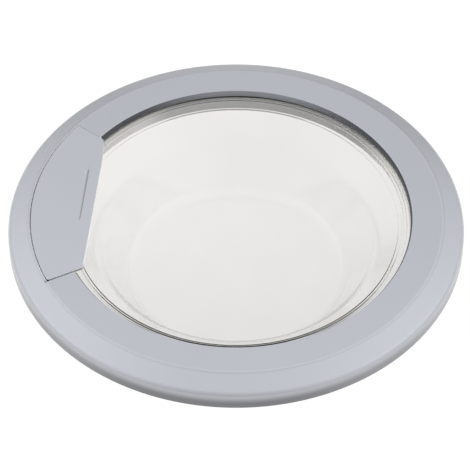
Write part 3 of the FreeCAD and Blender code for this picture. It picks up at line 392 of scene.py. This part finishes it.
bmesh.ops.triangle_fill(bm, use_beauty=True, use_dissolve=False, edges=edges_of(rings[0]) + edges_of(groove[0]), normal=(0, 0, 1))
cover = finish_mesh("handle_cover_shell", bm)
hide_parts("handle_cover")
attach(cover, "handle")


# ---------------------------------------------------------------------- springs
def coil(bm, x, y, z0, z1, mean, wire, turns, round_steps=20, sides=8):
    """Wire wound about Z between two levels, mm."""
    count = int(round(turns * round_steps))
    rise = z1 - z0 - 2 * wire
    rows = []
    for i in range(count + 1):
        a = 2 * PI * turns * i / count
        along = Vector((-math.sin(a) * mean, math.cos(a) * mean, rise / (2 * PI * turns))).normalized()
        out = Vector((math.cos(a), math.sin(a), 0.0))
        up = out.cross(along)
        at = Vector((x + mean * math.cos(a), y + mean * math.sin(a), z0 + wire + rise * i / count))
        rows.append([bm.verts.new((at + (out * math.cos(2 * PI * k / sides) + up * math.sin(2 * PI * k / sides)) * wire) * MM) for k in range(sides)])
    for p, q in zip(rows[:-1], rows[1:]):
        for k in range(sides):
            m = (k + 1) % sides
            bm.faces.new((p[k], p[m], q[m], q[k]))
    bm.faces.new(rows[0])
    bm.faces.new(rows[-1])


bm = bmesh.new()
for sign in (1, -1):
    coil(bm, -197.8, sign * 12.0, z(15.0), z(2.25), 1.45, 0.3, 6.0)
handle_coils = finish_mesh("handle_spring_wires", bm)
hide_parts("handle_springs")
bm = bmesh.new()
coil(bm, -202.5, 0.0, z(18.55), z(11.05), 1.9, 0.36, 5.0)
hook_coil = finish_mesh("hook_spring_wire", bm)
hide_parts("hook_spring")
for ob in (handle_coils, hook_coil):
    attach(ob, "door")


# -------------------------------------------------------------------- materials
class Tree:
    def __init__(self, name):
        self.mat = bpy.data.materials.new(name)
        self.mat.use_nodes = True
        self.t = self.mat.node_tree
        self.t.nodes.clear()
        self.out = self.t.nodes.new("ShaderNodeOutputMaterial")
        self.coord = self.t.nodes.new("ShaderNodeTexCoord").outputs["Object"]

    def add(self, kind, **inputs):
        nd = self.t.nodes.new(kind)
        for k, v in inputs.items():
            self.put(nd.inputs[k.replace("_", " ")], v)
        return nd

    def put(self, socket, v):
        if isinstance(v, bpy.types.NodeSocket):
            self.t.links.new(v, socket)
        else:
            socket.default_value = v

    def math(self, op, a, b=None, c=None, clamp=False):
        nd = self.t.nodes.new("ShaderNodeMath")
        nd.operation = op
        nd.use_clamp = clamp
        for i, v in enumerate((a, b, c)):
            if v is not None:
                self.put(nd.inputs[i], v)
        return nd.outputs[0]

    def noise(self, scale, detail=2.0, rough=0.5, vector=None):
        nd = self.t.nodes.new("ShaderNodeTexNoise")
        self.put(nd.inputs["Vector"], vector or self.coord)
        nd.inputs["Scale"].default_value = scale
        nd.inputs["Detail"].default_value = detail
        nd.inputs["Roughness"].default_value = rough
        return nd.outputs["Fac"]

    def ramp(self, fac, stops, smooth=False):
        nd = self.t.nodes.new("ShaderNodeValToRGB")
        el = nd.color_ramp.elements
        while len(el) < len(stops):
            el.new(0.5)
        for e, (p, c) in zip(el, stops):
            e.position = p
            e.color = (c, c, c, 1) if isinstance(c, (int, float)) else (*c, 1)
        if smooth:
            nd.color_ramp.interpolation = "EASE"
        self.put(nd.inputs["Fac"], fac)
        return nd.outputs["Color"]

    def mix(self, fac, a, b, blend="MIX"):
        nd = self.t.nodes.new("ShaderNodeMix")
        nd.data_type = "RGBA"
        nd.blend_type = blend
        self.put(nd.inputs[0], fac)
        for s, v in ((nd.inputs[6], a), (nd.inputs[7], b)):
            self.put(s, v if isinstance(v, bpy.types.NodeSocket) else (*v, 1))
        return nd.outputs[2]

    def xyz(self):
        nd = self.t.nodes.new("ShaderNodeSeparateXYZ")
        self.put(nd.inputs[0], self.coord)
        return nd.outputs

    def radius(self):
        x, y, _ = self.xyz()
        return self.math("SQRT", self.math("ADD", self.math("MULTIPLY", x, x), self.math("MULTIPLY", y, y)))

    def band(self, value, centre, half, soft):
        """1 near a value, falling to 0 over soft."""
        d = self.math("ABSOLUTE", self.math("SUBTRACT", value, centre))
        nd = self.t.nodes.new("ShaderNodeMapRange")
        nd.interpolation_type = "SMOOTHSTEP"
        self.put(nd.inputs["Value"], d)
        nd.inputs["From Min"].default_value = half
        nd.inputs["From Max"].default_value = half + soft
        nd.inputs["To Min"].default_value = 1.0
        nd.inputs["To Max"].default_value = 0.0
        return nd.outputs[0]

    def step(self, value, lo, hi):
        nd = self.t.nodes.new("ShaderNodeMapRange")
        nd.interpolation_type = "SMOOTHSTEP"
        self.put(nd.inputs["Value"], value)
        nd.inputs["From Min"].default_value = lo
        nd.inputs["From Max"].default_value = hi
        return nd.outputs[0]

    def bump(self, height, strength, distance, normal=None):
        nd = self.t.nodes.new("ShaderNodeBump")
        nd.inputs["Strength"].default_value = strength
        nd.inputs["Distance"].default_value = distance
        self.put(nd.inputs["Height"], height)
        if normal:
            self.put(nd.inputs["Normal"], normal)
        return nd.outputs[0]

    def principled(self, **inputs):
        nd = self.t.nodes.new("ShaderNodeBsdfPrincipled")
        for k, v in inputs.items():
            self.put(nd.inputs[k.replace("_", " ")], v)
        self.t.links.new(nd.outputs[0], self.out.inputs[0])
        return nd


def silver(name, seed, gain=1.0):
    t = Tree(name)
    flake = t.noise(2600.0 + seed, 1.0, 0.5)
    cloud = t.noise(7.0 + seed * 0.1, 3.0, 0.55)
    shade = lambda r_, g_, b_: (r_ * gain, g_ * gain, b_ * gain)
    base = t.mix(t.ramp(cloud, [(0.35, 0.0), (0.65, 1.0)]), shade(0.405, 0.420, 0.458), shade(0.42, 0.435, 0.473))
    col = t.mix(t.ramp(flake, [(0.40, 0.0), (0.62, 1.0)]), base, shade(0.46, 0.475, 0.513))
    r = t.radius()
    x, y, zc = t.xyz()
    # painted shade: the paint's colour is a little darker towards the far side
    col = t.mix(t.step(y, -0.20, 0.20), col, t.mix(1.0, col, (0.915, 0.915, 0.92), "MULTIPLY"))
    # painted shade low on the upright wall of the rim, stronger towards the near side
    wall = t.math("MULTIPLY", t.step(r, 0.2230, 0.2249), t.math("SUBTRACT", 1.0, t.step(zc, 0.0612, 0.0742)))
    front = t.math("MULTIPLY", y, -1.0)
    deep = t.math("ADD", t.math("MULTIPLY_ADD", t.step(front, 0.08, 0.16), 0.22, 0.42), t.math("MULTIPLY", t.step(front, 0.17, 0.222), 0.20))
    col = t.mix(t.math("MULTIPLY", wall, deep), col, (0.11, 0.113, 0.125))
    # painted shade on the lower lip, darker towards the sides, where its gloss is turned down too
    lip = t.math("MULTIPLY", t.math("SUBTRACT", 1.0, t.step(r, 0.1736, 0.1741)), t.math("SUBTRACT", 1.0, t.step(zc, 0.0820, 0.0827)))
    side = t.step(t.math("ABSOLUTE", x), 0.03, 0.12)
    col = t.mix(t.math("MULTIPLY", lip, t.math("MULTIPLY_ADD", side, 0.29, 0.68)), col, t.mix(side, (0.11, 0.117, 0.135), (0.068, 0.072, 0.082)))
    dull = t.math("SUBTRACT", 1.0, t.math("MULTIPLY", t.math("MULTIPLY", lip, side), 0.85))
    # pale bare moulding inside the handle's well and under the edges of the cover; its pale colour also stands in for
    # light in the shaded gaps round the cover, with a painted highlight on the well's far end
    turn = t.math("DIVIDE", y, t.math("MAXIMUM", t.math("MULTIPLY", x, -1.0), 0.01))
    bare_and_gap_light = t.math("MULTIPLY", t.math("MULTIPLY", t.step(turn, -0.640, -0.560), t.math("SUBTRACT", 1.0, t.step(turn, 0.632, 0.636))),
                  t.math("MULTIPLY", t.math("SUBTRACT", 1.0, t.step(r, 0.20325, 0.20335)), t.math("MULTIPLY", t.step(zc, 0.0728, 0.0735), t.math("SUBTRACT", 1.0, t.step(zc, 0.0826, 0.0829)))))
    groove = t.math("MULTIPLY", t.band(x, -0.1527, 0.0022, 0.0004), t.band(y, 0.012, 0.0395, 0.001))
    bare_and_gap_light = t.math("MULTIPLY", t.math("MULTIPLY", bare_and_gap_light, t.math("LESS_THAN", x, -0.10)), t.math("SUBTRACT", 1.0, groove))
    col = t.mix(bare_and_gap_light, col, (0.95, 0.955, 0.965))
    # painted shade: a near-black spot in the gap at the near outer corner of the cover
    dx, dy = t.math("ADD", x, 0.1723), t.math("ADD", y, 0.1068)
    apart = t.math("SQRT", t.math("ADD", t.math("MULTIPLY", dx, dx), t.math("MULTIPLY", dy, dy)))
    hole = t.math("MULTIPLY", t.math("SUBTRACT", 1.0, t.step(apart, 0.0020, 0.0028)), t.math("SUBTRACT", 1.0, t.step(zc, 0.0824, 0.0829)))
    col = t.mix(hole, col, (0.015, 0.015, 0.017))
    # the crease: a painted highlight on its inner side, fading out towards the far side, a thin darker line on its
    # outer side, and painted shade over the bevel towards the far side
    far = t.step(y, 0.05, 0.18)
    col = t.mix(t.math("MULTIPLY", far, t.step(r, 0.2034, 0.2040)), col, t.mix(1.0, col, (0.86, 0.86, 0.865), "MULTIPLY"))
    col = t.mix(t.math("MULTIPLY", t.math("MULTIPLY", t.band(r, 0.2034, 0.0003, 0.0006), t.math("SUBTRACT", 1.0, far)), 0.22), col, (0.72, 0.735, 0.77))
    col = t.mix(t.math("MULTIPLY", t.band(r, 0.2050, 0.0004, 0.0008), 0.16), col, (0.24, 0.247, 0.27))
    # painted shade on the steep side of the short groove
    slot = t.math("MULTIPLY", t.math("MULTIPLY", t.band(x, -0.1520, 0.0009, 0.0004), t.band(y, 0.012, 0.0370, 0.002)), t.math("SUBTRACT", 1.0, t.step(zc, 0.0826, 0.08295)))
    col = t.mix(t.math("MULTIPLY", slot, 0.08), col, (0.20, 0.205, 0.225))
    rough = t.math("ADD", t.math("MULTIPLY", flake, 0.10), t.math("MULTIPLY_ADD", cloud, 0.06, 0.30))
    peel = t.bump(t.noise(900.0, 2.0, 0.5), 0.05, 0.0004)
    metallic = t.math("MULTIPLY", t.math("SUBTRACT", 1.0, t.math("MAXIMUM", bare_and_gap_light, lip)), 0.35)
    t.principled(Base_Color=col, Metallic=metallic, Roughness=rough, Normal=peel, Specular_IOR_Level=t.math("MULTIPLY", dull, 0.45), Coat_Weight=t.math("MULTIPLY", dull, 0.35), Coat_Roughness=0.12, Coat_IOR=1.5)
    return t.mat


def glass_material(name):
    t = Tree(name)
    smear = t.noise(16.0, 4.0, 0.6)
    wave = t.noise(22.0, 1.0, 0.4)
    rough = t.math("MULTIPLY", t.ramp(smear, [(0.45, 0.0), (0.75, 1.0)]), 0.012)
    # painted shade: the glass's colour darker towards the near side and towards the right
    fade = t.step(t.xyz()[1], -0.15, 0.10)
    tint = t.mix(fade, (0.745, 0.747, 0.745), (0.825, 0.820, 0.813))
    tint = t.mix(t.step(t.xyz()[0], -0.14, 0.16), tint, t.mix(1.0, tint, (0.955, 0.955, 0.955), "MULTIPLY"))
    tint = t.mix(t.math("MULTIPLY", t.ramp(wave, [(0.3, 0.0), (0.7, 1.0)]), 0.10), tint, (0.90, 0.895, 0.885))
    nd = t.principled(Base_Color=tint, Roughness=rough, Transmission_Weight=1.0, IOR=1.4, Specular_Tint=(0.52, 0.52, 0.52, 1), Normal=t.bump(wave, 0.01, 0.0008))
    path = t.t.nodes.new("ShaderNodeLightPath")
    clear = t.t.nodes.new("ShaderNodeBsdfTransparent")
    clear.inputs[0].default_value = (0.93, 0.93, 0.92, 1)
    mixer = t.t.nodes.new("ShaderNodeMixShader")
    t.put(mixer.inputs[0], path.outputs["Is Shadow Ray"])
    t.put(mixer.inputs[1], nd.outputs[0])
    t.put(mixer.inputs[2], clear.outputs[0])
    t.t.links.new(mixer.outputs[0], t.out.inputs[0])
    return t.mat


def moulded(name, dark, light, rough=0.5, grain=1400.0, depth=0.10, collar=False):
    t = Tree(name)
    g = t.noise(grain, 2.0, 0.55)
    c = t.noise(9.0, 3.0, 0.5)
    col = t.mix(t.ramp(c, [(0.3, 0.0), (0.7, 1.0)]), dark, light)
    col = t.mix(t.math("MULTIPLY", t.ramp(g, [(0.35, 0.0), (0.7, 1.0)]), 0.2), col, tuple(min(1, v * 1.15) for v in light))
    if collar:      # the collar's inside is paler at the sides
        # painted light: the paler sides stand in for light, palest on the right
        r = t.radius()
        x = t.xyz()[0]
        sides = t.step(t.math("DIVIDE", t.math("MAXIMUM", t.math("MULTIPLY", x, 0.95), t.math("MULTIPLY", x, -1.3)), r), 0.60, 0.84)
        col = t.mix(t.math("MULTIPLY", sides, t.math("SUBTRACT", 1.0, t.step(r, 0.1746, 0.1752))), col, t.mix(t.step(x, -0.05, 0.05), (0.80, 0.80, 0.80), (0.95, 0.948, 0.94)))
    t.principled(Base_Color=col, Roughness=t.math("MULTIPLY_ADD", g, 0.2, rough - 0.1), Normal=t.bump(g, depth, 0.0004), Specular_IOR_Level=0.4)
    return t.mat


def metal(name, dark, light, rough, stretch=(1, 1, 1), scale=700.0, depth=0.12):
    t = Tree(name)
    mp = t.t.nodes.new("ShaderNodeMapping")
    mp.inputs["Scale"].default_value = stretch
    t.put(mp.inputs["Vector"], t.coord)
    g = t.noise(scale, 3.0, 0.6, mp.outputs[0])
    c = t.noise(60.0, 3.0, 0.55)
    col = t.mix(t.ramp(g, [(0.3, 0.0), (0.7, 1.0)]), dark, light)
    col = t.mix(t.math("MULTIPLY", t.ramp(c, [(0.45, 0.0), (0.7, 1.0)]), 0.35), col, dark)
    t.principled(Base_Color=col, Metallic=1.0, Roughness=t.math("MULTIPLY_ADD", g, 0.22, rough - 0.08), Normal=t.bump(g, depth, 0.0003))
    return t.mat


def rubber(name):
    t = Tree(name)
    g = t.noise(1100.0, 3.0, 0.6)
    bloom = t.noise(35.0, 3.0, 0.55)
    col = t.mix(t.ramp(bloom, [(0.4, 0.0), (0.7, 1.0)]), (0.66, 0.66, 0.65), (0.72, 0.72, 0.71))
    t.principled(Base_Color=col, Roughness=t.math("MULTIPLY_ADD", g, 0.2, 0.55), Normal=t.bump(g, 0.2, 0.0004), Specular_IOR_Level=0.3)
    return t.mat


M = {
    "silver_plastic": silver("silver_paint", 0.0, 1.25),
    "grey_plastic": moulded("grey_moulding", (0.49, 0.493, 0.505), (0.53, 0.533, 0.545), collar=True),
    "bowl_glass": glass_material("pressed_glass"),
    "seal_rubber": rubber("grey_rubber"),
    "lever_plastic": moulded("dark_moulding", (0.045, 0.046, 0.05), (0.06, 0.061, 0.066), 0.5),
    "screw_steel": metal("zinc_plate", (0.42, 0.42, 0.40), (0.60, 0.60, 0.57), 0.30),
    "pin_steel": metal("ground_pin", (0.48, 0.48, 0.48), (0.62, 0.62, 0.62), 0.22, (40, 1, 40), 160.0),
    "spring_steel": metal("drawn_wire", (0.22, 0.22, 0.23), (0.38, 0.38, 0.39), 0.30),
    "plate_steel": metal("folded_sheet", (0.45, 0.46, 0.45), (0.60, 0.61, 0.60), 0.32, (1, 18, 1), 220.0),
    "cast_zinc": metal("tumbled_casting", (0.36, 0.36, 0.355), (0.52, 0.52, 0.51), 0.38, (1, 1, 1), 900.0, 0.2),
    "bush_plastic": moulded("white_moulding", (0.70, 0.70, 0.66), (0.76, 0.76, 0.72), 0.4),
}


def wear(ob, mat):
    ob.data.materials.clear()
    ob.data.materials.append(mat)
    for p in ob.data.polygons:
        p.material_index = 0


slots = {s["node"]: s["material_slot"] for s in frame["record"]["subparts"]}
for name, ob in nodes.items():
    wear(ob, M[slots[name]])
wear(front, M["silver_plastic"])
wear(cover, silver("silver_paint_handle", 3.0, 1.32))
wear(glass, M["bowl_glass"])
wear(handle_coils, M["spring_steel"])
wear(hook_coil, M["spring_steel"])

# ------------------------------------------------------------------------ stage
fm = bpy.data.meshes.new("studio_floor")
half_floor = 8.0
fm.from_pydata([(-half_floor, -half_floor, -0.0004), (half_floor, -half_floor, -0.0004), (half_floor, half_floor, -0.0004), (-half_floor, half_floor, -0.0004)],
               [], [(0, 1, 2, 3)])
floor = bpy.data.objects.new("studio_floor", fm)
scene.collection.objects.link(floor)
ft = Tree("pale_floor")
fcol = ft.mix(ft.ramp(ft.noise(3.0, 2.0), [(0.3, 0.0), (0.7, 1.0)]), (0.036, 0.0357, 0.0351), (0.042, 0.0417, 0.0411))
STUDIO = {"floor": 1.0, "floor_far": 0.48, "all": 0.176, "top": 0.748, "right": 2.33, "left": 2.32, "far": 0.50, "near": 0.171, "low": 0.0}
near_by = ft.math("SUBTRACT", 1.0, ft.step(ft.radius(), 0.55, 1.6))
glow_floor = ft.math("ADD", ft.math("MULTIPLY", near_by, STUDIO["floor"]), ft.math("MULTIPLY", ft.math("SUBTRACT", 1.0, near_by), STUDIO["floor_far"]))
fp = ft.principled(Base_Color=fcol, Roughness=0.9, Specular_IOR_Level=0.1, Emission_Strength=glow_floor)
fp.inputs["Emission Color"].default_value = (1.0, 0.985, 0.97, 1)
wear(floor, ft.mat)

world = bpy.data.worlds.new("studio")
scene.world = world
world.use_nodes = True
wt = world.node_tree
wt.nodes.clear()
wo = wt.nodes.new("ShaderNodeOutputWorld")
wb = wt.nodes.new("ShaderNodeBackground")
wc = wt.nodes.new("ShaderNodeTexCoord")
wx = wt.nodes.new("ShaderNodeSeparateXYZ")
wt.links.new(wc.outputs["Generated"], wx.inputs[0])


def wmath(op, a, b):
    nd = wt.nodes.new("ShaderNodeMath")
    nd.operation = op
    for k, v in enumerate((a, b)):
        if isinstance(v, bpy.types.NodeSocket):
            wt.links.new(v, nd.inputs[k])
        elif v is not None:
            nd.inputs[k].default_value = v
    return nd.outputs[0]


def lobe(socket, sign, power):
    return wmath("POWER", wmath("MAXIMUM", wmath("MULTIPLY", socket, sign), 0.0), power)


sx, sy, sz = wx.outputs
root = lobe(sz, 1.0, 0.5)
above = wmath("GREATER_THAN", sz, 0.0)
parts_of_sky = {
    "all": above,
    "top": lobe(sz, 1.0, 2.5),
    "right": wmath("MULTIPLY", lobe(sx, 1.0, 2.0), root),
    "left": wmath("MULTIPLY", lobe(sx, -1.0, 2.0), root),
    "far": wmath("MULTIPLY", lobe(sy, 1.0, 2.0), root),
    "near": wmath("MULTIPLY", lobe(sy, -1.0, 2.0), root),
    "low": wmath("MULTIPLY", above, wmath("POWER", wmath("SUBTRACT", 1.0, wmath("MAXIMUM", sz, 0.0)), 6.0)),
}
glow = 0.0
for key, value in parts_of_sky.items():
    glow = wmath("ADD", wmath("MULTIPLY", value, STUDIO[key]), glow)
wt.links.new(glow, wb.inputs[1])
wb.inputs[0].default_value = (1.0, 1.0, 1.0, 1)
wt.links.new(wb.outputs[0], wo.inputs[0])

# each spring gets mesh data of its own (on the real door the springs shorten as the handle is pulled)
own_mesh(handle_coils)
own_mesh(hook_coil)

# ----------------------------------------------------------------------- camera
cam = bpy.data.cameras.new("camera")
cam_ob = bpy.data.objects.new("camera", cam)
scene.collection.objects.link(cam_ob)
el_, az_ = math.radians(46.57), math.radians(5.4)
centre = Vector((0, 0, TOP * MM))
back = Vector((math.sin(az_) * math.cos(el_), -math.cos(az_) * math.cos(el_), math.sin(el_)))
cam_ob.location = centre + back * 2.5
cam_ob.rotation_mode = "QUATERNION"
cam_ob.rotation_quaternion = (-back).to_track_quat("-Z", "Y")
cam.sensor_width = 36.0
cam.lens = 36.0 * 2537.5 / 470.0
cam.shift_x = -1.15 / 470.0
cam.shift_y = -22.26 / 470.0
cam.clip_start, cam.clip_end = 0.05, 60.0
scene.camera = cam_ob

scene.view_settings.view_transform = "Standard"
scene.view_settings.look = "None"
scene.view_settings.exposure = 0.0
scene.view_settings.gamma = 1.0
